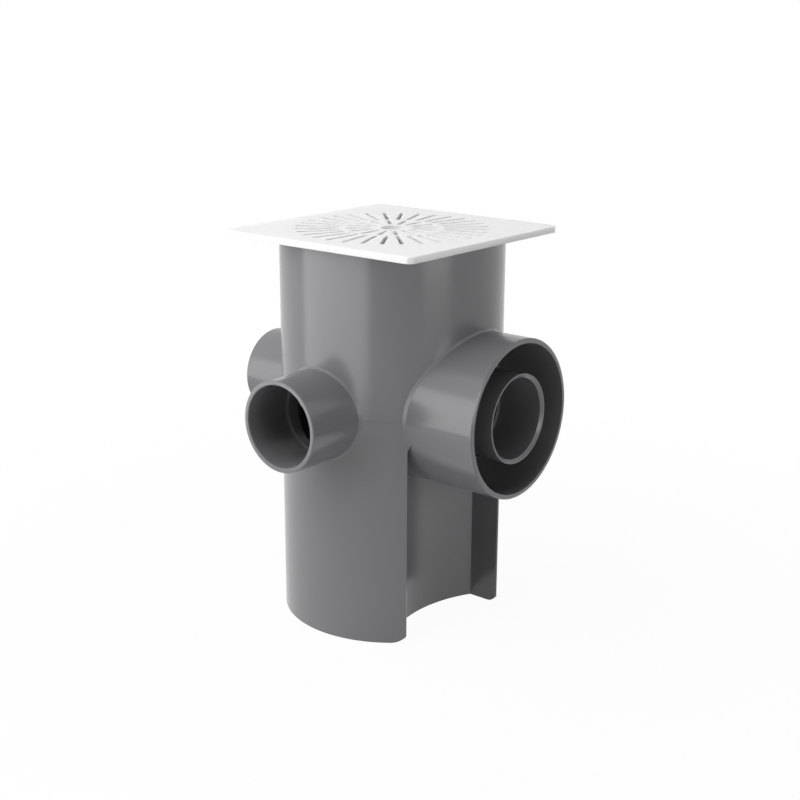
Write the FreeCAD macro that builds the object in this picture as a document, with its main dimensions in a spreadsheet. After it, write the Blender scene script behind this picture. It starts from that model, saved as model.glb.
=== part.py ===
import FreeCAD, Part
import Sketcher
import os
import math
from FreeCAD import Vector, Placement, Rotation

# Gully trap: a round chamber with two side inlets, a large outlet collar around a smaller outlet tube,
# a recess in the wall below the collar, a removable dip elbow that makes the water seal, and a square grate.
# Origin on the chamber's axis at the underside of the floor, X along the outlet, Z up. Sizes in millimetres.

sizes = {
    # chamber
    "body_radius": 71.5,
    "body_height": 248.5,
    "wall": 3.0,
    "floor_thick": 3.5,
    "pipe_height": 146.0,
    # recess below the outlet
    "recess_half": 42.2,
    "recess_shift": 5.7,
    "panel_radius": 86.4,
    "corner_x": 39.9,
    "wing_edge": 1.0,
    "foot_radius": 7.5,
    # outlet collar and outlet tube
    "collar_radius": 50.0,
    "collar_mouth": 101.0,
    "collar_root": 27.0,
    "end_wall_x": 50.0,
    "tube_radius": 28.2,
    "tube_set_back": 1.0,
    "tube_lead": 1.6,
    "tube_root": 35.0,
    "socket_radius": 25.5,
    "socket_depth": 32.0,
    "collar_lead": 2.0,
    "lip": 0.9,
    "pipe_stop": 2.3,
    # inlets
    "inlet_mouth": 106.0,
    "inlet_radius": 28.5,
    "inlet_draft": 0.6,
    "inlet_depth": 33.0,
    "back_drop": 3.6,
    "rim_bevel": 0.5,
    "root_bevel": 1.3,
    # dip elbow and its seal
    "elbow_wall": 2.8,
    "elbow_x": -10.0,
    "elbow_mouth": 60.0,
    "elbow_play": 0.3,
    "seal_thick": 2.0,
    # grate
    "plate_side": 150.0,
    "plate_thick": 4.0,
    "plate_corner": 4.5,
    "plate_edge": 0.5,
    "skirt_play": 0.5,
    "skirt_thick": 2.0,
    "skirt_depth": 12.0,
    "slot_width": 2.6,
    "ring_inner": 33.0,
    "ring_outer": 63.6,
    "ring_slots": 32,
    "core_inner": 13.0,
    "core_outer": 29.6,
    "core_slots": 16,
    "dimple_radius": 8.0,
    "dimple_depth": 1.2,
    "pin_hole": 1.5,
}

doc = FreeCAD.newDocument("gully_trap")
sheet = doc.addObject("Spreadsheet::Sheet", "sizes")
for row, (name, value) in enumerate(sizes.items(), start=1):
    sheet.set("A%d" % row, name)
    sheet.set("B%d" % row, str(value))
    sheet.setAlias("B%d" % row, name)
doc.recompute()


# A size is written as words: names, numbers, products such as 2*wall, joined by + and -.
def number(text):
    total, sign = 0.0, 1.0
    for word in text.split():
        if word in "+-":
            sign = 1.0 if word == "+" else -1.0
            continue
        product = 1.0
        for factor in word.split("*"):
            product *= sizes[factor] if factor in sizes else float(factor)
        total += sign * product
        sign = 1.0
    return total


def formula(text):
    words = []
    for word in text.split():
        factors = ["sizes." + factor if factor in sizes else factor for factor in word.split("*")]
        words.append(" * ".join(factors))
    return " ".join(words)


def minus(text):
    swap = {"+": "-", "-": "+"}
    return "- " + " ".join(swap.get(word, word) for word in text.split())


def bind(thing, prop, text):
    thing.setExpression(prop, formula(text))


def newBody(label):
    body = doc.addObject("PartDesign::Body", label)
    body.Label = label
    body.Placement = Placement(Vector(0, 0, 0), Rotation(0, 0, 0, 1))
    return body


# An empty sketch on one of the body's origin planes, moved by bound offsets in the plane's own directions.
def newSketch(body, role, name, along="0", up="0", out="0"):
    plane = [feature for feature in body.Origin.OriginFeatures if feature.Role == role][0]
    sketch = body.newObject("Sketcher::SketchObject", name)
    sketch.AttachmentSupport = (plane, [""])
    sketch.MapMode = "FlatFace"
    sketch.AttachmentOffset = Placement(Vector(number(along), number(up), number(out)), Rotation(0, 0, 0, 1))
    for axis, text in (("x", along), ("y", up), ("z", out)):
        if text != "0":
            bind(sketch, "AttachmentOffset.Base." + axis, text)
    return sketch


def holdPoint(sketch, item, end, x, y):
    for kind, text, axis in (("DistanceX", x, -2), ("DistanceY", y, -1)):
        if text is None:
            continue
        if number(text) == 0.0:
            sketch.addConstraint(Sketcher.Constraint("PointOnObject", item, end, axis))
        else:
            at = sketch.addConstraint(Sketcher.Constraint(kind, -1, 1, item, end, number(text)))
            bind(sketch, "Constraints[%d]" % at, text)


def addCircle(sketch, radius, x="0", y="0"):
    item = sketch.addGeometry(Part.Circle(Vector(number(x), number(y), 0), Vector(0, 0, 1), number(radius)))
    at = sketch.addConstraint(Sketcher.Constraint("Radius", item, number(radius)))
    bind(sketch, "Constraints[%d]" % at, radius)
    if number(x) == 0.0 and number(y) == 0.0:
        sketch.addConstraint(Sketcher.Constraint("Coincident", item, 3, -1, 1))
    else:
        holdPoint(sketch, item, 3, x, y)
    return item


# A closed outline through held corners. A side is straight, or an arc given as its radius, its centre, whether
# it runs anticlockwise, and for a half circle the x or y that its centre is held at instead of the radius.
def addOutline(sketch, corners, arcs=None):
    arcs = arcs or {}
    points = [Vector(number(x), number(y), 0) for x, y in corners]
    items = []
    for side, start in enumerate(points):
        end = points[(side + 1) % len(points)]
        if side in arcs:
            radius, x, y, ccw = arcs[side][:4]
            middle = Vector(x, y, 0)
            first = math.atan2(start.y - y, start.x - x)
            last = math.atan2(end.y - y, end.x - x)
            if not ccw:
                first, last = last, first
            while last < first:
                last += 2 * math.pi
            circle = Part.Circle(middle, Vector(0, 0, 1), number(radius))
            item = sketch.addGeometry(Part.ArcOfCircle(circle, first, last))
            items.append((item, 1 if ccw else 2, 2 if ccw else 1))
        else:
            item = sketch.addGeometry(Part.LineSegment(start, end))
            items.append((item, 1, 2))
    for side, (item, first, last) in enumerate(items):
        following = items[(side + 1) % len(items)]
        sketch.addConstraint(Sketcher.Constraint("Coincident", item, last, following[0], following[1]))
    for side, (item, first, last) in enumerate(items):
        holdPoint(sketch, item, first, corners[side][0], corners[side][1])
    for side, arc in arcs.items():
        if len(arc) > 4:
            holdPoint(sketch, items[side][0], 3, arc[4], arc[5])
            continue
        at = sketch.addConstraint(Sketcher.Constraint("Radius", items[side][0], number(arc[0])))
        bind(sketch, "Constraints[%d]" % at, arc[0])
    return items


def pad(body, sketch, length, reverse=False):
    feature = body.newObject("PartDesign::Pad", sketch.Name + "_pad")
    feature.Profile = sketch
    feature.Reversed = reverse
    feature.Length = number(length)
    bind(feature, "Length", length)
    doc.recompute()
    return feature


def pocket(body, sketch, length, reverse=False):
    before = body.Shape.Volume
    feature = body.newObject("PartDesign::Pocket", sketch.Name + "_cut")
    feature.Profile = sketch
    feature.Reversed = reverse
    feature.Length = number(length)
    bind(feature, "Length", length)
    doc.recompute()
    if not feature.Shape.Volume < before - 0.5:
        raise RuntimeError(feature.Name + " removed nothing")
    return feature


def turn(body, sketch, kind, angle=360, axis="H_Axis", reverse=False):
    before = body.Shape.Volume if body.Tip else 0.0
    feature = body.newObject("PartDesign::" + kind, sketch.Name + "_turned")
    feature.Profile = sketch
    feature.ReferenceAxis = (sketch, [axis])
    feature.Angle = angle
    feature.Reversed = reverse
    doc.recompute()
    if kind == "Groove" and not feature.Shape.Volume < before - 0.5:
        raise RuntimeError(feature.Name + " removed nothing")
    return feature


def bevel(body, name, size, test):
    base = body.Tip
    edges = []
    for count, edge in enumerate(base.Shape.Edges, start=1):
        span = edge.LastParameter - edge.FirstParameter
        if all(test(edge.valueAt(edge.FirstParameter + part * span)) for part in (0.2, 0.5, 0.8)):
            edges.append("Edge%d" % count)
    feature = body.newObject("PartDesign::Chamfer", name)
    feature.Base = (base, edges)
    feature.Size = number(size)
    bind(feature, "Size", size)
    doc.recompute()
    if not edges or feature.Shape.isNull() or not feature.Shape.isValid():
        raise RuntimeError("no bevel: " + name)
    return feature


def near(value, text, slack=0.02):
    return abs(value - number(text)) < slack


# How far a point lies from a pipe's axis, given how far it lies across from it
def fromPipe(point, across, height="pipe_height"):
    return math.hypot(across, point.z - number(height))


# Chamber and pipe stubs, one moulding
trap = newBody("trap_body")
disc = newSketch(trap, "XY_Plane", "chamber")
addCircle(disc, "body_radius")
pad(trap, disc, "body_height")

inlets = (("XZ_Plane", "inlet_back", "pipe_height - back_drop"), ("YZ_Plane", "inlet_side", "pipe_height"))
for role, name, height in inlets:
    stub = newSketch(trap, role, name, up=height)
    addOutline(stub, [
        ("- inlet_mouth", "socket_radius"),
        ("- inlet_mouth", "inlet_radius"),
        ("- body_radius + 4*wall", "inlet_radius + inlet_draft"),
        ("- body_radius + 4*wall", "socket_radius - pipe_stop"),
        ("- inlet_mouth + inlet_depth", "socket_radius - pipe_stop"),
        ("- inlet_mouth + inlet_depth", "socket_radius"),
    ])
    turn(trap, stub, "Revolution")

collarRoot = "body_radius - 9*wall"
firstCollar = newSketch(trap, "XZ_Plane", "collar_stub", up="pipe_height")
addOutline(firstCollar, [
    (collarRoot, "0"),
    (collarRoot, "collar_radius"),
    ("collar_mouth", "collar_radius"),
    ("collar_mouth", "0"),
])
turn(trap, firstCollar, "Revolution")


def onPipeRoot(point):
    if not near(math.hypot(point.x, point.y), "body_radius"):
        return False
    if point.x > abs(point.y):
        return near(fromPipe(point, point.y), "collar_radius")
    if point.y < -abs(point.x):
        return near(fromPipe(point, point.x), "inlet_radius + 0.5*inlet_draft", 0.4)
    return near(fromPipe(point, point.y, "pipe_height - back_drop"), "inlet_radius + 0.5*inlet_draft", 0.4)


bevel(trap, "root_bevels", "root_bevel", onPipeRoot)

# Recess in the wall: a shallow curved panel between two straight wing walls, a little off the outlet's axis
leftSide, rightSide = "- recess_shift - recess_half", "- recess_shift + recess_half"


def arcBehind(x, half, radius):
    return number(x) + math.sqrt(number(radius) ** 2 - number(half) ** 2)


recess = newSketch(trap, "XY_Plane", "recess")
addOutline(recess, [
    ("corner_x", leftSide),
    ("body_radius + 9", leftSide),
    ("body_radius + 9", rightSide),
    ("corner_x", rightSide),
], {3: ("panel_radius", arcBehind("corner_x", "recess_half", "panel_radius"), - number("recess_shift"), True)})
pocket(trap, recess, "pipe_height", reverse=True)


def onWingEdge(point):
    onRound = near(math.hypot(point.x, point.y), "body_radius")
    onSide = near(point.y, leftSide) or near(point.y, rightSide)
    return onRound and onSide and point.x > 0 and point.z < number("pipe_height - collar_radius + 9")


bevel(trap, "wing_bevels", "wing_edge", onWingEdge)

for name, start, span, tip in (
        ("wing_foot_left", "recess_shift", "body_radius", "body_radius - 18.5"),
        ("wing_foot_right", "- body_radius", "body_radius - recess_shift", "body_radius - 10.1")):
    foot = newSketch(trap, "XZ_Plane", name, out=start)
    addOutline(foot, [
        (tip + " - foot_radius", "0"),
        (tip, "foot_radius"),
        (tip + " + foot_radius", "foot_radius"),
        (tip + " + foot_radius", "- wall"),
        (tip + " - foot_radius", "- wall"),
    ], {0: ("foot_radius", number(tip + " - foot_radius"), number("foot_radius"), True)})
    pocket(trap, foot, span, reverse=True)

# Hollow of the chamber, one wall in from the recess below the pipes' axes and round above them
hollow = newSketch(trap, "XY_Plane", "hollow_low", out="floor_thick")
wallLeft, wallRight = leftSide + " - wall", rightSide + " + wall"
inside = number("body_radius - wall")
wallArc = hollow.addGeometry(Part.ArcOfCircle(
    Part.Circle(Vector(0, 0, 0), Vector(0, 0, 1), inside),
    math.asin(number(wallRight) / inside), 2 * math.pi + math.asin(number(wallLeft) / inside)))
hollow.addConstraint(Sketcher.Constraint("Coincident", wallArc, 3, -1, 1))
radiusAt = hollow.addConstraint(Sketcher.Constraint("Radius", wallArc, inside))
bind(hollow, "Constraints[%d]" % radiusAt, "body_radius - wall")
holdPoint(hollow, wallArc, 1, None, wallRight)
holdPoint(hollow, wallArc, 2, None, wallLeft)
stops = [(None, wallLeft), ("corner_x - 0.6*wall", wallLeft), ("corner_x - 0.6*wall", wallRight), (None, wallRight)]
spots = [
    Vector(math.sqrt(inside ** 2 - number(y) ** 2) if x is None else number(x), number(y), 0) for x, y in stops]
sides = []
for start, end in zip(spots, spots[1:]):
    if start.x == end.x:
        centre = arcBehind("corner_x - 0.6*wall", "recess_half + wall", "panel_radius + wall")
        lean = math.atan2(number("recess_half + wall"), centre - end.x)
        item = hollow.addGeometry(Part.ArcOfCircle(
            Part.Circle(Vector(centre, - number("recess_shift"), 0), Vector(0, 0, 1), number("panel_radius + wall")),
            math.pi - lean, math.pi + lean))
        radiusAt = hollow.addConstraint(Sketcher.Constraint("Radius", item, number("panel_radius + wall")))
        bind(hollow, "Constraints[%d]" % radiusAt, "panel_radius + wall")
        sides.append((item, 2, 1))
    else:
        sides.append((hollow.addGeometry(Part.LineSegment(start, end)), 1, 2))
hollow.addConstraint(Sketcher.Constraint("Coincident", wallArc, 2, sides[0][0], 1))
hollow.addConstraint(Sketcher.Constraint("Coincident", wallArc, 1, sides[-1][0], 2))
for before, after, stop in zip(sides, sides[1:], stops[1:]):
    hollow.addConstraint(Sketcher.Constraint("Coincident", before[0], before[2], after[0], after[1]))
    holdPoint(hollow, after[0], after[1], stop[0], stop[1])
pocket(trap, hollow, "pipe_height + wall - floor_thick", reverse=True)

upper = newSketch(trap, "XY_Plane", "hollow_high", out="pipe_height + wall")
addCircle(upper, "body_radius - wall")
pocket(trap, upper, "body_height - pipe_height", reverse=True)

# Outlet: a collar that runs back to the recess's panel, an end wall across it and a tube through that wall
collar = newSketch(trap, "XZ_Plane", "collar", up="pipe_height")
addOutline(collar, [
    ("collar_root", "0"),
    ("collar_root", "collar_radius"),
    ("collar_mouth", "collar_radius"),
    ("collar_mouth", "0"),
])
turn(trap, collar, "Revolution")

passage = newSketch(trap, "XZ_Plane", "outlet_hollow", up="pipe_height")
tubeMouth = "collar_mouth - tube_set_back"
stopX = tubeMouth + " - socket_depth"
addOutline(passage, [
    ("collar_root - 4*wall", "0"),
    ("collar_root - 4*wall", "collar_radius - wall"),
    ("end_wall_x", "collar_radius - wall"),
    ("end_wall_x", "tube_radius"),
    ("tube_root", "tube_radius"),
    ("tube_root", "socket_radius - pipe_stop"),
    (stopX, "socket_radius - pipe_stop"),
    (stopX, "socket_radius"),
    (tubeMouth + " - tube_lead", "socket_radius"),
    (tubeMouth, "tube_radius - lip"),
    (tubeMouth, "tube_radius - 0.3*lip"),
    (tubeMouth + " - 0.3*lip", "tube_radius"),
    ("end_wall_x + wall", "tube_radius"),
    ("end_wall_x + wall", "collar_radius - wall"),
    ("collar_mouth - collar_lead", "collar_radius - wall"),
    ("collar_mouth", "collar_radius - lip"),
    ("collar_mouth + wall", "collar_radius - lip"),
    ("collar_mouth + wall", "0"),
])
turn(trap, passage, "Groove")

# Each inlet's socket ends on a ledge that stops the pipe, and a smaller hole goes on into the chamber
for role, name, height in inlets:
    bore = newSketch(trap, role, name + "_hole", up=height)
    addOutline(bore, [
        ("- inlet_mouth - wall", "0"),
        ("- inlet_mouth - wall", "socket_radius - pipe_stop"),
        ("- body_radius + 4*wall", "socket_radius - pipe_stop"),
        ("- body_radius + 4*wall", "0"),
    ])
    turn(trap, bore, "Groove")


def onRim(point):
    if near(point.x, "- inlet_mouth"):
        away = fromPipe(point, point.y, "pipe_height - back_drop")
    elif near(point.y, "- inlet_mouth"):
        away = fromPipe(point, point.x)
    else:
        return False
    return near(away, "inlet_radius") or near(away, "socket_radius")


bevel(trap, "rim_bevels", "rim_bevel", onRim)

# Dip elbow: slides over the tube's inner end, turns down at a mitred corner and ends under the water line
elbow = newBody("dip_elbow")
elbowInner = "socket_radius - pipe_stop"
elbowOuter = elbowInner + " + elbow_wall"
socketInner = "tube_radius + elbow_play"
socketEnd = "end_wall_x - seal_thick"

mitre = elbow.newObject("PartDesign::Plane", "mitre")
mitre.AttachmentSupport = ([f for f in elbow.Origin.OriginFeatures if f.Role == "XY_Plane"][0], [""])
mitre.MapMode = "FlatFace"
mitre.AttachmentOffset = Placement(
    Vector(number("elbow_x"), 0, number("pipe_height")), Rotation(Vector(0, 1, 0), -45))
bind(mitre, "AttachmentOffset.Base.x", "elbow_x")
bind(mitre, "AttachmentOffset.Base.z", "pipe_height")
doc.recompute()

leg = newSketch(elbow, "XY_Plane", "elbow_leg", along="elbow_x", out="elbow_mouth")
arm = newSketch(elbow, "YZ_Plane", "elbow_arm", up="pipe_height", out="tube_root - 2*wall")
for sketch, backwards in ((leg, False), (arm, True)):
    addCircle(sketch, elbowOuter)
    addCircle(sketch, elbowInner)
    length = elbow.newObject("PartDesign::Pad", sketch.Name + "_pad")
    length.Profile = sketch
    length.Type = "UpToFace"
    length.UpToFace = (mitre, [""])
    length.Reversed = backwards
    doc.recompute()

socket = newSketch(elbow, "XZ_Plane", "elbow_socket", up="pipe_height")
addOutline(socket, [
    ("tube_root - 2*wall", elbowInner),
    ("tube_root - 2*wall", elbowOuter),
    ("tube_root - wall", socketInner + " + elbow_wall"),
    (socketEnd, socketInner + " + elbow_wall"),
    (socketEnd, socketInner),
    ("tube_root - 0.5*wall", socketInner),
    ("tube_root - 0.5*wall", elbowInner),
])
turn(elbow, socket, "Revolution")

# Flat rubber ring between the elbow's socket and the end wall
ring = newBody("elbow_seal")
washer = newSketch(ring, "YZ_Plane", "washer", up="pipe_height", out=socketEnd)
addCircle(washer, socketInner + " + elbow_wall")
addCircle(washer, socketInner)
pad(ring, washer, "seal_thick")

# Grate: a square plate with two rings of slots and a skirt that drops inside the chamber
grate = newBody("grate")
plate = newSketch(grate, "XY_Plane", "plate", out="body_height")
half, full = "0.5*plate_side", "0.5*plate_side - plate_corner"
turns = [(1, -1), (1, 1), (-1, 1), (-1, -1)]
corners, arcs = [], {}
for index, (sx, sy) in enumerate(turns):
    edgeX, nearX = (half, full) if sx > 0 else (minus(half), minus(full))
    edgeY, nearY = (half, full) if sy > 0 else (minus(half), minus(full))
    pair = [(edgeX, nearY), (nearX, edgeY)]
    corners += pair if sx * sy > 0 else pair[::-1]
    arcs[2 * index] = ("plate_corner", number(nearX), number(nearY), True)
addOutline(plate, corners, arcs)
pad(grate, plate, "plate_thick")

bevel(grate, "plate_edge_bevel", "plate_edge", lambda point: near(point.z, "body_height + plate_thick"))

skirt = newSketch(grate, "XY_Plane", "skirt", out="body_height")
skirtOuter = "body_radius - wall - skirt_play"
addCircle(skirt, skirtOuter)
addCircle(skirt, skirtOuter + " - skirt_thick")
pad(grate, skirt, "skirt_depth", reverse=True)

dimple = newSketch(grate, "XY_Plane", "dimple", out="body_height + plate_thick")
addCircle(dimple, "dimple_radius")
pocket(grate, dimple, "dimple_depth")
pin = newSketch(grate, "XY_Plane", "dimple_hole", out="body_height + plate_thick")
addCircle(pin, "pin_hole")
pocket(grate, pin, "2*plate_thick")

for name, start, end, count in (
        ("slot_outer", "ring_inner", "ring_outer", "ring_slots"),
        ("slot_inner", "core_inner", "core_outer", "core_slots")):
    slot = newSketch(grate, "XY_Plane", name, out="body_height + plate_thick")
    flank, tip, bevel = "0.5*slot_width", "0.2*slot_width", "0.3*slot_width"
    addOutline(slot, [
        (start + " + " + bevel, minus(flank)),
        (end + " - " + bevel, minus(flank)),
        (end, minus(tip)),
        (end, tip),
        (end + " - " + bevel, flank),
        (start + " + " + bevel, flank),
        (start, tip),
        (start, minus(tip)),
    ])
    cut = pocket(grate, slot, "2*plate_thick")
    spread = grate.newObject("PartDesign::PolarPattern", name + "_ring")
    spread.Originals = [cut]
    spread.Axis = (slot, ["N_Axis"])
    spread.Angle = 360
    spread.Occurrences = int(number(count))
    bind(spread, "Occurrences", count)
    grate.Tip = spread
    doc.recompute()

doc.recompute()
for thing in doc.Objects:
    if "Invalid" in thing.State or "Error" in thing.State:
        raise RuntimeError("not built: " + thing.Name)

os.makedirs("parts", exist_ok=True)
for body in (trap, elbow, ring, grate):
    shape = body.Shape
    if shape.isNull() or not shape.isValid() or len(shape.Solids) != 1:
        raise RuntimeError("bad shape: " + body.Label)
    box = shape.BoundBox
    print(body.Label, "volume %.0f" % shape.Volume, "x %.1f %.1f y %.1f %.1f z %.1f %.1f" % (
        box.XMin, box.XMax, box.YMin, box.YMax, box.ZMin, box.ZMax))
    shape.exportStep("parts/%s.step" % body.Label)
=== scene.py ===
import math

import bmesh
import bpy
from mathutils import Matrix, Vector


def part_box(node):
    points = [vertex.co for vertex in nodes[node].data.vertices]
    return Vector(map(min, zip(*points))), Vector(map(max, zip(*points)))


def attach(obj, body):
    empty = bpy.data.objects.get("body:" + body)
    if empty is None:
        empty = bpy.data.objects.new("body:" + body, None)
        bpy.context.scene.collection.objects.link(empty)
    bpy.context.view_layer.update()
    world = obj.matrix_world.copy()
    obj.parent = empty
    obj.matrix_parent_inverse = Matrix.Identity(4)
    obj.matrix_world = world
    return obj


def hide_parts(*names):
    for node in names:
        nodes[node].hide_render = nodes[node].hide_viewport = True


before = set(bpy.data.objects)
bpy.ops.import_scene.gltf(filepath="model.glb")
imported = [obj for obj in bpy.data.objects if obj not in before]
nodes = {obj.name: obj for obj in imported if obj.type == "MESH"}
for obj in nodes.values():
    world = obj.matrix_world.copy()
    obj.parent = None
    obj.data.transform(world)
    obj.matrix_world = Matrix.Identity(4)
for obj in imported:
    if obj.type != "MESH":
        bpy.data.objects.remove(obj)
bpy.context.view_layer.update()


# node trees: a node with its inputs given as sockets or plain values
def addNode(tree, kind, inputs=None, **settings):
    node = tree.nodes.new(kind)
    for key, value in settings.items():
        setattr(node, key, value)
    for key, value in (inputs or {}).items():
        if isinstance(value, bpy.types.NodeSocket):
            tree.links.new(value, node.inputs[key])
        else:
            node.inputs[key].default_value = value
    return node


def mixShaders(tree, share, first, second):
    return addNode(tree, "ShaderNodeMixShader", {"Fac": share, 1: first, 2: second}).outputs[0]


def clearedTree(owner):
    owner.use_nodes = True
    owner.node_tree.nodes.clear()
    return owner.node_tree


# camera: the photograph's own angle, distance and framing
cameraView = {
    "azimuth": 39.28, "elevation": 16.39, "roll": 0.27,     # degrees
    "distance": 0.8485, "nearest": 0.01,                    # metres
    "lens": 60.56, "sensor": 36.0,                          # mm
    "target": (0.0, 0.0, 0.2525),                           # a point on the object ...
    "targetSeen": (392.57, 227.49), "frameSize": 800.0,     # ... and the pixel where it is seen
}


# the direction out from the object at a turn round it and a rise above the ground, in degrees
def wayOut(turn, rise):
    turn, rise = math.radians(turn), math.radians(rise)
    return Vector((math.sin(turn) * math.cos(rise), -math.cos(turn) * math.cos(rise), math.sin(rise)))


def aimCamera(view):
    azimuth, roll = math.radians(view["azimuth"]), math.radians(view["roll"])
    back = wayOut(view["azimuth"], view["elevation"])
    right = Vector((math.cos(azimuth), math.sin(azimuth), 0.0))
    up = back.cross(right)
    right, up = (right * math.cos(roll) + up * math.sin(roll),
                 up * math.cos(roll) - right * math.sin(roll))
    middle, focal = view["frameSize"] / 2.0, view["lens"] / view["sensor"] * view["frameSize"]
    across = (view["targetSeen"][0] - middle) * view["distance"] / focal
    above = (middle - view["targetSeen"][1]) * view["distance"] / focal
    place = Vector(view["target"]) - right * across - up * above + back * view["distance"]
    data = bpy.data.cameras.new("photoCamera")
    data.lens, data.sensor_width, data.clip_start = view["lens"], view["sensor"], view["nearest"]
    camera = bpy.data.objects.new("photoCamera", data)
    camera.matrix_world = Matrix.Translation(place) @ Matrix((right, up, back)).transposed().to_4x4()
    bpy.context.scene.collection.objects.link(camera)
    bpy.context.scene.camera = camera


aimCamera(cameraView)
print("camera placed")


# materials: one moulded plastic with a clouded colour, an uneven polish and a fine grain
plasticBase = {
    "noiseDetail": 3.0, "noiseRoughness": 0.55, "grainDetail": 2.0, "ior": 1.5,
    "grainScale": 900.0, "grainStrength": 0.02, "grainDepth": 0.0002, "glow": 0.0, "glowReach": 0.001,
}


def noise(tree, look, place, scale, detail):
    made = addNode(tree, "ShaderNodeTexNoise", {
        "Vector": place, "Scale": scale, "Detail": detail, "Roughness": look["noiseRoughness"]})
    return made.outputs["Fac"]


def mouldedPlastic(name, changes):
    look = dict(plasticBase, **changes)
    material = bpy.data.materials.new(name)
    tree = clearedTree(material)
    place = addNode(tree, "ShaderNodeTexCoord").outputs["Object"]
    tint = addNode(tree, "ShaderNodeValToRGB", {
        "Fac": noise(tree, look, place, look["cloudScale"], look["noiseDetail"])})
    tint.color_ramp.interpolation = "EASE"
    for element, side in zip(tint.color_ramp.elements, (-1.0, 1.0)):
        element.color = (*[c * (1.0 + side * look["cloudDepth"]) for c in look["colour"]], 1.0)
    polish = addNode(tree, "ShaderNodeMapRange", {
        "Value": noise(tree, look, place, look["sheenScale"], look["noiseDetail"]),
        "To Min": look["roughness"] - look["roughnessSpread"],
        "To Max": look["roughness"] + look["roughnessSpread"]})
    bump = addNode(tree, "ShaderNodeBump", {
        "Height": noise(tree, look, place, look["grainScale"], look["grainDetail"]),
        "Strength": look["grainStrength"], "Distance": look["grainDepth"]})
    shader = addNode(tree, "ShaderNodeBsdfPrincipled", {
        "Base Color": tint.outputs["Color"], "Roughness": polish.outputs["Result"],
        "Normal": bump.outputs["Normal"], "IOR": look["ior"], "Subsurface Weight": look["glow"],
        "Subsurface Radius": (1.0, 1.0, 1.0), "Subsurface Scale": look["glowReach"]})
    addNode(tree, "ShaderNodeOutputMaterial", {"Surface": shader.outputs["BSDF"]})
    return material


greyPipePlastic = mouldedPlastic("greyPipePlastic", {
    "colour": (0.142, 0.142, 0.147), "cloudDepth": 0.05, "cloudScale": 14.0,
    "roughness": 0.20, "roughnessSpread": 0.02, "sheenScale": 30.0,
})
whiteGratePlastic = mouldedPlastic("whiteGratePlastic", {
    "colour": (0.68, 0.68, 0.675), "cloudDepth": 0.01, "cloudScale": 30.0,
    "roughness": 0.36, "roughnessSpread": 0.04, "sheenScale": 80.0,
    "grainDepth": 0.0003, "glow": 0.6, "glowReach": 0.007,
})
sealRubber = mouldedPlastic("sealRubber", {
    "colour": (0.022, 0.022, 0.023), "cloudDepth": 0.08, "cloudScale": 120.0,
    "roughness": 0.62, "roughnessSpread": 0.06, "sheenScale": 200.0,
    "grainScale": 1500.0, "grainStrength": 0.15, "grainDepth": 0.0003,
})


# painted shade in the plate's dished middle: the colour is darkened between two distances from the
# chamber's axis, where the dish is shaded
dishPaintedShade = {"from": 0.0074, "to": 0.0058, "depth": 0.15}


def addPaintedShade(material, paintedShade):
    tree = material.node_tree
    shader = tree.nodes["Principled BSDF"]
    place = addNode(tree, "ShaderNodeTexCoord").outputs["Object"]
    flat = addNode(tree, "ShaderNodeVectorMath", {0: place, 1: (1.0, 1.0, 0.0)}, operation="MULTIPLY")
    reach = addNode(tree, "ShaderNodeVectorMath", {0: flat.outputs["Vector"]}, operation="LENGTH")
    share = addNode(tree, "ShaderNodeMapRange", {
        "Value": reach.outputs["Value"], "From Min": paintedShade["from"], "From Max": paintedShade["to"],
        "To Min": 1.0, "To Max": 1.0 - paintedShade["depth"]}, interpolation_type="SMOOTHSTEP")
    # painted shade: the base colour is scaled down towards the dish's middle, in place of the shade that
    # falls in the recess
    dim = addNode(tree, "ShaderNodeVectorMath", {
        0: shader.inputs["Base Color"].links[0].from_socket,
        "Scale": share.outputs["Result"]}, operation="SCALE")
    tree.links.new(dim.outputs["Vector"], shader.inputs["Base Color"])


# the grate's dish gets painted shade in its colour
addPaintedShade(whiteGratePlastic, dishPaintedShade)


def paint(piece, material):
    if not piece.material_slots:
        piece.data.materials.append(material)
    for slot in piece.material_slots:
        slot.material = material


for nodeName, finish in (("dip_elbow", greyPipePlastic), ("elbow_seal", sealRubber)):
    paint(nodes[nodeName], finish)
print("materials assigned")


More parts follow.
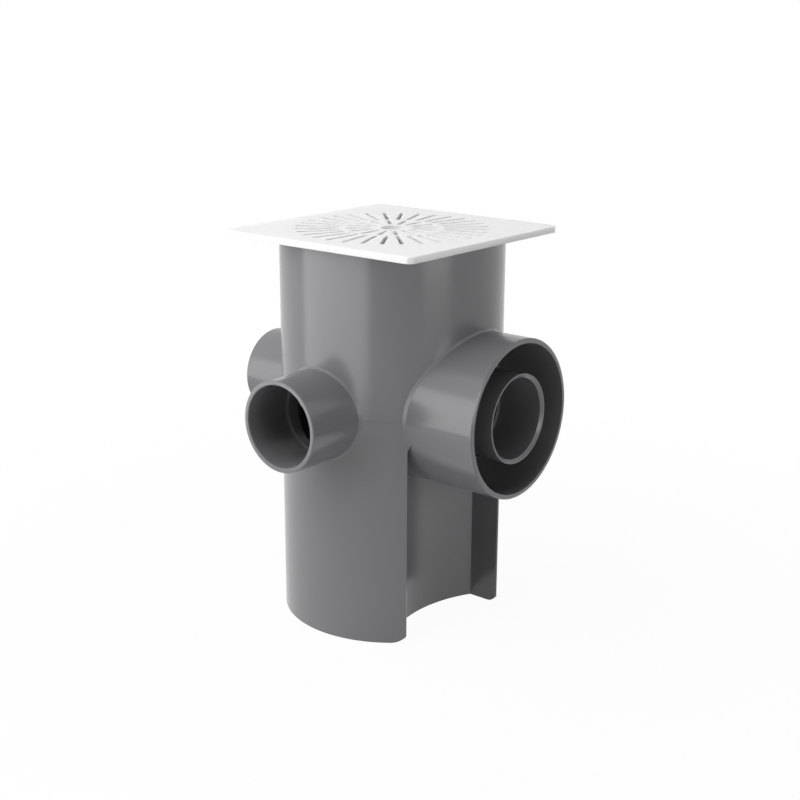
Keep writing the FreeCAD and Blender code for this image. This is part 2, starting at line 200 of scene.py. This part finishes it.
# geometry nodes: a tree whose inputs are a piece's sizes, baked to a plain mesh
class NodeTree:
    def __init__(self, name, sizes, material):
        self.tree = bpy.data.node_groups.new(name, "GeometryNodeTree")
        self.values = dict(sizes, material=material)
        self.sockets = {}
        for key, value in self.values.items():
            kind = "Material" if key == "material" else "Int" if isinstance(value, int) else "Float"
            self.sockets[key] = self.tree.interface.new_socket(
                name=key, in_out="INPUT", socket_type="NodeSocket" + kind)
        self.tree.interface.new_socket(name="Geometry", in_out="OUTPUT", socket_type="NodeSocketGeometry")
        self.given = self.tree.nodes.new("NodeGroupInput")
        self.result = self.tree.nodes.new("NodeGroupOutput")

    def size(self, key):
        return self.given.outputs[key]

    def node(self, kind, inputs=None, **settings):
        return addNode(self.tree, kind, inputs, **settings).outputs[0]

    def sum(self, first, second, operation="ADD"):
        return self.node("ShaderNodeMath", {0: first, 1: second}, operation=operation)

    def vector(self, x=0.0, y=0.0, z=0.0):
        return self.node("ShaderNodeCombineXYZ", {0: x, 1: y, 2: z})

    def circle(self, steps, radius):
        return self.node("GeometryNodeCurvePrimitiveCircle", {"Resolution": steps, "Radius": radius})

    def moved(self, geometry, offset):
        return self.node("GeometryNodeTransform", {"Geometry": geometry, "Translation": offset})

    def join(self, *parts):
        node = self.tree.nodes.new("GeometryNodeJoinGeometry")
        for part in parts:
            self.tree.links.new(part, node.inputs[0])
        return node.outputs[0]

    def finish(self, geometry):
        whole = self.node("GeometryNodeRealizeInstances", {"Geometry": geometry})
        dressed = self.node("GeometryNodeSetMaterial", {
            "Geometry": whole, "Material": self.size("material")})
        self.tree.links.new(dressed, self.result.inputs[0])

    # angles in degrees: bevelled from one, marked sharp from the other
    def bake(self, name, bevel=0.0, bevelSteps=2, bevelAngle=40.0, sharpAngle=50.0):
        holder = bpy.data.objects.new(name, bpy.data.meshes.new(name + "Empty"))
        bpy.context.scene.collection.objects.link(holder)
        modifier = holder.modifiers.new("layout", "NODES")
        modifier.node_group = self.tree
        for key, socket in self.sockets.items():
            modifier[socket.identifier] = self.values[key]
        if bevel:
            soften = holder.modifiers.new("softEdges", "BEVEL")
            soften.width, soften.segments, soften.limit_method = bevel, bevelSteps, "ANGLE"
            soften.angle_limit = math.radians(bevelAngle)
        bpy.context.view_layer.update()
        evaluated = holder.evaluated_get(bpy.context.evaluated_depsgraph_get())
        mesh = bpy.data.meshes.new_from_object(evaluated)
        holder.modifiers.clear()
        holder.data = mesh
        mesh.name = name
        mesh.polygons.foreach_set("use_smooth", [True] * len(mesh.polygons))
        mesh.set_sharp_from_angle(angle=math.radians(sharpAngle))
        mesh.materials.clear()
        mesh.materials.append(self.values["material"])
        mesh.polygons.foreach_set("material_index", [0] * len(mesh.polygons))
        return holder


# grate: a square plate with two rings of slots, a finger dimple and a skirt
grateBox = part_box("grate")
grateLayout = {
    "side": grateBox[1][0] - grateBox[0][0], "top": grateBox[1][2], "thickness": 0.004,
    "cornerRadius": 0.0045, "cornerSteps": 8,
    "slotWidth": 0.0026, "slotRounding": 0.49, "slotSteps": 5,      # rounding as a share of the width
    "outerStart": 0.0330, "outerEnd": 0.0620, "outerSlots": 32,
    "innerStart": 0.0130, "innerEnd": 0.0296, "innerSlots": 16,
    "dimpleRadius": 0.0070, "dimpleSteps": 64,
    "skirtRadius": 0.0680, "skirtThickness": 0.0020, "skirtDepth": 0.0120, "skirtSteps": 128,
    "weld": 0.00001,
}
grateFinish = {
    "softEdge": 0.0005, "sharpAngle": 20.0,
    "dimpleDepth": 0.0020, "dimpleSlope": 0.0026, "dimpleCurve": 10, "pinHole": 0.0012,
}


def slotRing(net, start, end, count):
    length = net.sum(end, start, "SUBTRACT")
    middle = net.sum(net.sum(end, start), 0.5, "MULTIPLY")
    rounding = net.sum(net.size("slotWidth"), net.size("slotRounding"), "MULTIPLY")
    bar = net.node("GeometryNodeCurvePrimitiveQuadrilateral", {
        "Width": length, "Height": net.size("slotWidth")})
    slot = net.node("GeometryNodeFilletCurve", {
        "Curve": bar, "Count": net.size("slotSteps"), "Radius": rounding}, mode="POLY")
    points = net.node("GeometryNodePoints", {"Count": count})
    share = net.sum(net.node("GeometryNodeInputIndex"), count, "DIVIDE")
    ring = net.node("GeometryNodeInstanceOnPoints", {
        "Points": points, "Instance": net.moved(slot, net.vector(middle)),
        "Rotation": net.vector(z=net.sum(share, math.tau, "MULTIPLY"))})
    return net.node("GeometryNodeRealizeInstances", {"Geometry": ring})


# a flat outline made a closed slab that hangs down from z
def slab(net, curves, z, depth):
    flat = net.node("GeometryNodeFillCurve", {"Curve": curves}, mode="NGONS")
    upper = net.moved(flat, net.vector(z=z))
    pushed = net.node("GeometryNodeExtrudeMesh", {
        "Mesh": upper, "Offset": net.vector(z=1.0),
        "Offset Scale": net.sum(depth, -1.0, "MULTIPLY"), "Individual": False})
    closed = net.join(upper, net.node("GeometryNodeFlipFaces", {"Mesh": pushed}))
    return net.node("GeometryNodeMergeByDistance", {"Geometry": closed, "Distance": net.size("weld")})


def makeGrate():
    net = NodeTree("slottedGrate", grateLayout, whiteGratePlastic)
    square = net.node("GeometryNodeCurvePrimitiveQuadrilateral", {
        "Width": net.size("side"), "Height": net.size("side")})
    outline = net.node("GeometryNodeFilletCurve", {
        "Curve": square, "Count": net.size("cornerSteps"), "Radius": net.size("cornerRadius")}, mode="POLY")
    dimple = net.circle(net.size("dimpleSteps"), net.size("dimpleRadius"))
    outer = slotRing(net, net.size("outerStart"), net.size("outerEnd"), net.size("outerSlots"))
    inner = slotRing(net, net.size("innerStart"), net.size("innerEnd"), net.size("innerSlots"))
    plate = slab(net, net.join(outline, dimple, outer, inner), net.size("top"), net.size("thickness"))
    skirtBore = net.sum(net.size("skirtRadius"), net.size("skirtThickness"), "SUBTRACT")
    skirtOutline = net.join(net.circle(net.size("skirtSteps"), net.size("skirtRadius")),
                            net.circle(net.size("skirtSteps"), skirtBore))
    under = net.sum(net.size("top"), net.size("thickness"), "SUBTRACT")
    net.finish(net.join(plate, slab(net, skirtOutline, under, net.size("skirtDepth"))))
    return net.bake("slottedGrate", bevel=grateFinish["softEdge"], sharpAngle=grateFinish["sharpAngle"])


# the dished middle of the plate, turned as one ring round its pin hole
def addDimple(grate):
    top, under = grateLayout["top"], grateLayout["top"] - grateLayout["thickness"]
    rim, steps = grateLayout["dimpleRadius"], grateLayout["dimpleSteps"]
    depth, slope, curve = (grateFinish[key] for key in ("dimpleDepth", "dimpleSlope", "dimpleCurve"))
    edge, pin = grateFinish["softEdge"], grateFinish["pinHole"]
    profile = [(rim, top - edge)]
    for step in range(curve + 1):
        share = step / curve
        fall = (depth - edge) * (1.0 - math.cos(math.pi * share)) / 2.0
        profile.append((rim - edge * 0.5 - slope * share, top - edge - fall))
    profile += [(pin + edge * 0.5, top - depth), (pin, top - depth - edge * 0.5),
                (pin, under), (rim, under)]
    work = bmesh.new()
    work.from_mesh(grate.data)
    turns = [math.tau * step / steps for step in range(steps)]
    rings = [[work.verts.new((radius * math.cos(turn), radius * math.sin(turn), height)) for turn in turns]
             for radius, height in profile]
    faces = []
    for low, high in zip(rings, rings[1:] + rings[:1]):
        for step in range(steps):
            after = (step + 1) % steps
            faces.append(work.faces.new((low[step], low[after], high[after], high[step])))
    bmesh.ops.recalc_face_normals(work, faces=faces)
    for face in faces:
        face.smooth = True
    for ring in rings[curve + 1:]:
        for first, second in zip(ring, ring[1:] + ring[:1]):
            work.edges.get((first, second)).smooth = False
    work.to_mesh(grate.data)
    work.free()


grate = makeGrate()
addDimple(grate)
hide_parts("grate")
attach(grate, "root")
print("grate laid out:", len(grate.data.polygons), "faces")


# the moulding, with the bevel of the collar's mouth on the outside, as the photograph shows it
mouthFinish = {
    "height": 0.146, "mouth": 0.1010, "radius": 0.0500, "bore": 0.0470, "leadIn": 0.0020,   # as in the CAD
    "flat": 0.0020, "setBack": 0.0005, "near": 0.0001,
}


def isNear(value, wanted):
    return abs(value - wanted) < mouthFinish["near"]


def makeMoulding(sizes):
    mesh = nodes["trap_body"].data.copy()
    mesh.name = "chamberMoulding"
    moved = 0
    for vertex in mesh.vertices:
        x, y, z = vertex.co
        reach = math.hypot(y, z - sizes["height"])
        atMouth = isNear(x, sizes["mouth"])
        if isNear(x, sizes["mouth"] - sizes["leadIn"]) and isNear(reach, sizes["bore"]):
            vertex.co.x = sizes["mouth"]
        elif atMouth and isNear(reach, sizes["radius"]):
            vertex.co.x = sizes["mouth"] - sizes["setBack"]
        elif atMouth and reach > sizes["bore"] + sizes["near"]:
            share = (sizes["bore"] + sizes["flat"]) / reach
            vertex.co.y, vertex.co.z = y * share, sizes["height"] + (z - sizes["height"]) * share
        else:
            continue
        moved += 1
    mesh.update()
    moulding = bpy.data.objects.new("chamberMoulding", mesh)
    bpy.context.scene.collection.objects.link(moulding)
    print("collar's mouth bevelled:", moved, "points moved")
    return moulding


moulding = makeMoulding(mouthFinish)
paint(moulding, greyPipePlastic)
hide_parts("trap_body")
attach(moulding, "root")


# fine raised seams where the halves of the mould met, along the pipes' sides
seamSizes = {
    "height": 0.146, "backHeight": 0.1424, "width": 0.00022, "roundSteps": 8,
    "collarRadius": 0.0500, "collarFrom": 0.0560, "collarTo": 0.0985,
    "inletRadius": 0.0286, "inletFrom": 0.0690, "inletTo": 0.1045,
    "chamberRadius": 0.0715, "arcSteps": 24,
}
seamArcs = ((-65.5, 19.5), (-155.5, 41.0))      # start and sweep in degrees of the arcs round the chamber


def makeSeams():
    net = NodeTree("mouldSeams", seamSizes, greyPipePlastic)
    height, backHeight = net.size("height"), net.size("backHeight")
    near, far = (net.sum(net.size(key), -1.0, "MULTIPLY") for key in ("inletFrom", "inletTo"))
    paths = []
    for side in (1.0, -1.0):
        beside = net.sum(net.size("collarRadius"), side, "MULTIPLY")
        across = net.sum(net.size("inletRadius"), side, "MULTIPLY")
        for start, end in (
            ((net.size("collarFrom"), beside, height), (net.size("collarTo"), beside, height)),
            ((across, near, height), (across, far, height)),
            ((near, across, backHeight), (far, across, backHeight)),
        ):
            paths.append(net.node("GeometryNodeCurvePrimitiveLine", {
                "Start": net.vector(*start), "End": net.vector(*end)}))
    for start, sweep in seamArcs:
        arc = net.node("GeometryNodeCurveArc", {
            "Resolution": net.size("arcSteps"), "Radius": net.size("chamberRadius"),
            "Start Angle": math.radians(start), "Sweep Angle": math.radians(sweep)}, mode="RADIUS")
        paths.append(net.moved(arc, net.vector(z=height)))
    profile = net.circle(net.size("roundSteps"), net.size("width"))
    net.finish(net.join(*(net.node("GeometryNodeCurveToMesh", {
        "Curve": path, "Profile Curve": profile, "Fill Caps": True}) for path in paths)))
    return net.bake("mouldSeams")


seams = makeSeams()
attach(seams, "root")
print("seams laid")


# floor, backdrop and lights; each lamp is placed by its turn from the camera, its rise and its distance
studio = {
    "floorSize": 24.0, "floorDrop": 0.0003, "floorColour": (0.6, 0.6, 0.6),
    "nearWhite": 0.96, "fadeFrom": 0.15, "fadeTo": 0.6,
    "ambient": 0.06, "reflected": 1.0, "backdrop": 1.0,
}
lamps = {
    "key": {"turn": -79.0, "rise": 34.0, "distance": 1.5, "size": (2.2, 3.0), "power": 65.0,
            "height": 0.13, "hiddenFrom": "glossy"},
    "card": {"turn": -58.0, "rise": 0.0, "distance": 0.45, "size": (0.65, 0.38), "power": 1.65,
             "height": 0.20, "hiddenFrom": "diffuse"},
    "top": {"turn": 20.0, "rise": 80.0, "distance": 1.6, "size": (1.4, 1.4), "power": 6.0,
            "height": 0.13, "hiddenFrom": "glossy"},
    "fill": {"turn": 44.0, "rise": 0.0, "distance": 1.6, "size": (0.8, 1.0), "power": 12.5,
             "height": 0.13, "hiddenFrom": ""},
}


# a pale cloth that fades to white away from the object, is white in reflections and is clear from below
def floorMaterial(look):
    material = bpy.data.materials.new("studioFloor")
    tree = clearedTree(material)
    rays = addNode(tree, "ShaderNodeLightPath").outputs
    place = addNode(tree, "ShaderNodeTexCoord").outputs["Object"]
    away = addNode(tree, "ShaderNodeVectorMath", {0: place}, operation="LENGTH")
    fade = addNode(tree, "ShaderNodeMapRange", {
        "Value": away.outputs["Value"], "From Min": look["fadeFrom"], "From Max": look["fadeTo"],
        "To Min": look["nearWhite"]}, interpolation_type="SMOOTHSTEP")
    seen = addNode(tree, "ShaderNodeMath", {
        0: rays["Is Camera Ray"], 1: fade.outputs["Result"]}, operation="MULTIPLY")
    share = addNode(tree, "ShaderNodeMath", {
        0: seen.outputs[0], 1: rays["Is Glossy Ray"]}, operation="MAXIMUM")
    cloth = addNode(tree, "ShaderNodeBsdfDiffuse", {"Color": (*look["floorColour"], 1.0)})
    white = addNode(tree, "ShaderNodeEmission")
    above = mixShaders(tree, share.outputs[0], cloth.outputs[0], white.outputs[0])
    below = addNode(tree, "ShaderNodeBsdfTransparent").outputs[0]
    facing = addNode(tree, "ShaderNodeNewGeometry").outputs["Backfacing"]
    addNode(tree, "ShaderNodeOutputMaterial", {"Surface": mixShaders(tree, facing, above, below)})
    return material


def makeFloor(look):
    half, level = look["floorSize"] / 2.0, -look["floorDrop"]
    mesh = bpy.data.meshes.new("studioFloor")
    corners = [(-half, -half, level), (half, -half, level), (half, half, level), (-half, half, level)]
    mesh.from_pydata(corners, [], [(0, 1, 2, 3)])
    mesh.materials.append(floorMaterial(look))
    floor = bpy.data.objects.new("studioFloor", mesh)
    bpy.context.scene.collection.objects.link(floor)


def lightWorld(look):
    world = bpy.data.worlds.new("studioWorld")
    tree = clearedTree(world)
    rays = addNode(tree, "ShaderNodeLightPath").outputs
    ambient, reflected, backdrop = (
        addNode(tree, "ShaderNodeBackground", {
            "Color": (1.0, 1.0, 1.0, 1.0), "Strength": look[key]}).outputs[0]
        for key in ("ambient", "reflected", "backdrop"))
    seen = mixShaders(tree, rays["Is Glossy Ray"], ambient, reflected)
    seen = mixShaders(tree, rays["Is Camera Ray"], seen, backdrop)
    addNode(tree, "ShaderNodeOutputWorld", {"Surface": seen})
    bpy.context.scene.world = world


def softBox(name, lamp):
    out = wayOut(cameraView["azimuth"] + lamp["turn"], lamp["rise"])
    data = bpy.data.lights.new(name, "AREA")
    data.shape = "RECTANGLE"
    data.size, data.size_y = lamp["size"]
    data.energy = lamp["power"]
    box = bpy.data.objects.new(name, data)
    box.location = Vector((0.0, 0.0, lamp["height"])) + out * lamp["distance"]
    box.rotation_euler = out.to_track_quat("Z", "Y").to_euler()
    if lamp["hiddenFrom"]:
        setattr(box, "visible_" + lamp["hiddenFrom"], False)
    bpy.context.scene.collection.objects.link(box)


makeFloor(studio)
lightWorld(studio)
for lampName, lamp in lamps.items():
    softBox(lampName + "Box", lamp)
bpy.context.scene.view_settings.view_transform = "Standard"
print("studio lit")
